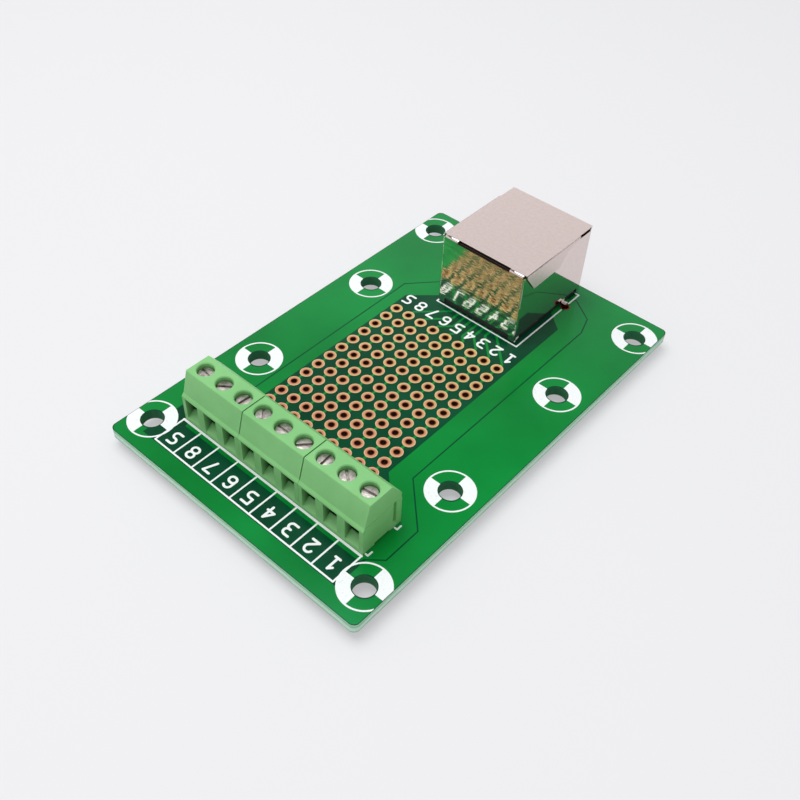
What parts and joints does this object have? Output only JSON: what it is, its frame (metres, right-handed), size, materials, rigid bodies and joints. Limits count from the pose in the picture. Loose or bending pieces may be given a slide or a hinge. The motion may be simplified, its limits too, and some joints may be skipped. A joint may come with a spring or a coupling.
{
  "type": "ethernet breakout board",
  "caption": "Circuit board that brings the wires of a shielded modular network jack out to a row of screw terminals through a field of plated holes.",
  "frame": {"origin": "centre of the four corner holes, on the underside of the board", "axes": "+Z out of the component side, +Y along the long side towards the jack, +X towards terminal 1"},
  "size_m": [0.0472, 0.0724, 0.0164],
  "materials": {
    "board_laminate": "dark green gloss mask on pale glass laminate",
    "masked_copper": "bright green gloss mask over copper foil",
    "bare_copper": "bare copper with a pale worn rim",
    "white_print": "flat white ink",
    "solder_tin": "bright tin solder",
    "nickel_shield": "bright nickel plate with fine rolling lines",
    "black_plastic": "moulded black nylon",
    "gold_contact": "gold plated spring wire",
    "green_plastic": "moulded pale green nylon, satin",
    "screw_steel": "bright zinc plate",
    "clamp_steel": "nickel plated steel",
    "tinned_brass": "tinned brass strip"
  },
  "bodies": {
    "base": {"board": "board_laminate", "trace_copper": "masked_copper", "pads_column_s": "bare_copper", "pads_column_8": "bare_copper", "pads_column_7": "bare_copper", "pads_column_6": "bare_copper", "pads_column_5": "bare_copper", "pads_column_4": "bare_copper", "pads_column_3": "bare_copper", "pads_column_2": "bare_copper", "pads_column_1": "bare_copper", "plated_holes": "bare_copper", "silk_legend": "white_print", "solder_joints": "solder_tin", "terminal_housing_1": "green_plastic", "terminal_housing_2": "green_plastic", "terminal_housing_3": "green_plastic", "terminal_pin_1": "tinned_brass", "terminal_pin_2": "tinned_brass", "terminal_pin_3": "tinned_brass", "terminal_pin_4": "tinned_brass", "terminal_pin_5": "tinned_brass", "terminal_pin_6": "tinned_brass", "terminal_pin_7": "tinned_brass", "terminal_pin_8": "tinned_brass", "terminal_pin_9": "tinned_brass", "jack_shield": "nickel_shield", "jack_housing": "black_plastic", "contact_carrier": "black_plastic", "jack_contact_1": "gold_contact", "jack_contact_2": "gold_contact", "jack_contact_3": "gold_contact", "jack_contact_4": "gold_contact", "jack_contact_5": "gold_contact", "jack_contact_6": "gold_contact", "jack_contact_7": "gold_contact", "jack_contact_8": "gold_contact"},
    "screw_1": {"clamp_screw_1": "screw_steel"},
    "clamp_1": {"clamp_cage_1": "clamp_steel"},
    "screw_2": {"clamp_screw_2": "screw_steel"},
    "clamp_2": {"clamp_cage_2": "clamp_steel"},
    "screw_3": {"clamp_screw_3": "screw_steel"},
    "clamp_3": {"clamp_cage_3": "clamp_steel"},
    "screw_4": {"clamp_screw_4": "screw_steel"},
    "clamp_4": {"clamp_cage_4": "clamp_steel"},
    "screw_5": {"clamp_screw_5": "screw_steel"},
    "clamp_5": {"clamp_cage_5": "clamp_steel"},
    "screw_6": {"clamp_screw_6": "screw_steel"},
    "clamp_6": {"clamp_cage_6": "clamp_steel"},
    "screw_7": {"clamp_screw_7": "screw_steel"},
    "clamp_7": {"clamp_cage_7": "clamp_steel"},
    "screw_8": {"clamp_screw_8": "screw_steel"},
    "clamp_8": {"clamp_cage_8": "clamp_steel"},
    "screw_9": {"clamp_screw_9": "screw_steel"},
    "clamp_9": {"clamp_cage_9": "clamp_steel"}
  },
  "joints": [
    {"name": "screw_turn_1", "type": "hinge", "parent": "base", "child": "screw_1", "pos_m": [-0.01524, -0.0247, 0.0088], "axis": [0, 0, -1], "range_deg": [0, 1895]},
    {"name": "clamp_rise_1", "type": "slide", "parent": "base", "child": "clamp_1", "axis": [0, 0, 1], "range_m": [0, 0.0021]},
    {"name": "screw_turn_2", "type": "hinge", "parent": "base", "child": "screw_2", "pos_m": [-0.01143, -0.0247, 0.0088], "axis": [0, 0, -1], "range_deg": [0, 1895]},
    {"name": "clamp_rise_2", "type": "slide", "parent": "base", "child": "clamp_2", "axis": [0, 0, 1], "range_m": [0, 0.0021]},
    {"name": "screw_turn_3", "type": "hinge", "parent": "base", "child": "screw_3", "pos_m": [-0.00762, -0.0247, 0.0088], "axis": [0, 0, -1], "range_deg": [0, 1895]},
    {"name": "clamp_rise_3", "type": "slide", "parent": "base", "child": "clamp_3", "axis": [0, 0, 1], "range_m": [0, 0.0021]},
    {"name": "screw_turn_4", "type": "hinge", "parent": "base", "child": "screw_4", "pos_m": [-0.00381, -0.0247, 0.0088], "axis": [0, 0, -1], "range_deg": [0, 1895]},
    {"name": "clamp_rise_4", "type": "slide", "parent": "base", "child": "clamp_4", "axis": [0, 0, 1], "range_m": [0, 0.0021]},
    {"name": "screw_turn_5", "type": "hinge", "parent": "base", "child": "screw_5", "pos_m": [0, -0.0247, 0.0088], "axis": [0, 0, -1], "range_deg": [0, 1895]},
    {"name": "clamp_rise_5", "type": "slide", "parent": "base", "child": "clamp_5", "axis": [0, 0, 1], "range_m": [0, 0.0021]},
    {"name": "screw_turn_6", "type": "hinge", "parent": "base", "child": "screw_6", "pos_m": [0.00381, -0.0247, 0.0088], "axis": [0, 0, -1], "range_deg": [0, 1895]},
    {"name": "clamp_rise_6", "type": "slide", "parent": "base", "child": "clamp_6", "axis": [0, 0, 1], "range_m": [0, 0.0021]},
    {"name": "screw_turn_7", "type": "hinge", "parent": "base", "child": "screw_7", "pos_m": [0.00762, -0.0247, 0.0088], "axis": [0, 0, -1], "range_deg": [0, 1895]},
    {"name": "clamp_rise_7", "type": "slide", "parent": "base", "child": "clamp_7", "axis": [0, 0, 1], "range_m": [0, 0.0021]},
    {"name": "screw_turn_8", "type": "hinge", "parent": "base", "child": "screw_8", "pos_m": [0.01143, -0.0247, 0.0088], "axis": [0, 0, -1], "range_deg": [0, 1895]},
    {"name": "clamp_rise_8", "type": "slide", "parent": "base", "child": "clamp_8", "axis": [0, 0, 1], "range_m": [0, 0.0021]},
    {"name": "screw_turn_9", "type": "hinge", "parent": "base", "child": "screw_9", "pos_m": [0.01524, -0.0247, 0.0088], "axis": [0, 0, -1], "range_deg": [0, 1895]},
    {"name": "clamp_rise_9", "type": "slide", "parent": "base", "child": "clamp_9", "axis": [0, 0, 1], "range_m": [0, 0.0021]}
  ],
  "couplings": [
    {"joint": "screw_turn_1", "follows": "clamp_rise_1", "rad_per_m": 15708},
    {"joint": "screw_turn_2", "follows": "clamp_rise_2", "rad_per_m": 15708},
    {"joint": "screw_turn_3", "follows": "clamp_rise_3", "rad_per_m": 15708},
    {"joint": "screw_turn_4", "follows": "clamp_rise_4", "rad_per_m": 15708},
    {"joint": "screw_turn_5", "follows": "clamp_rise_5", "rad_per_m": 15708},
    {"joint": "screw_turn_6", "follows": "clamp_rise_6", "rad_per_m": 15708},
    {"joint": "screw_turn_7", "follows": "clamp_rise_7", "rad_per_m": 15708},
    {"joint": "screw_turn_8", "follows": "clamp_rise_8", "rad_per_m": 15708},
    {"joint": "screw_turn_9", "follows": "clamp_rise_9", "rad_per_m": 15708}
  ]
}
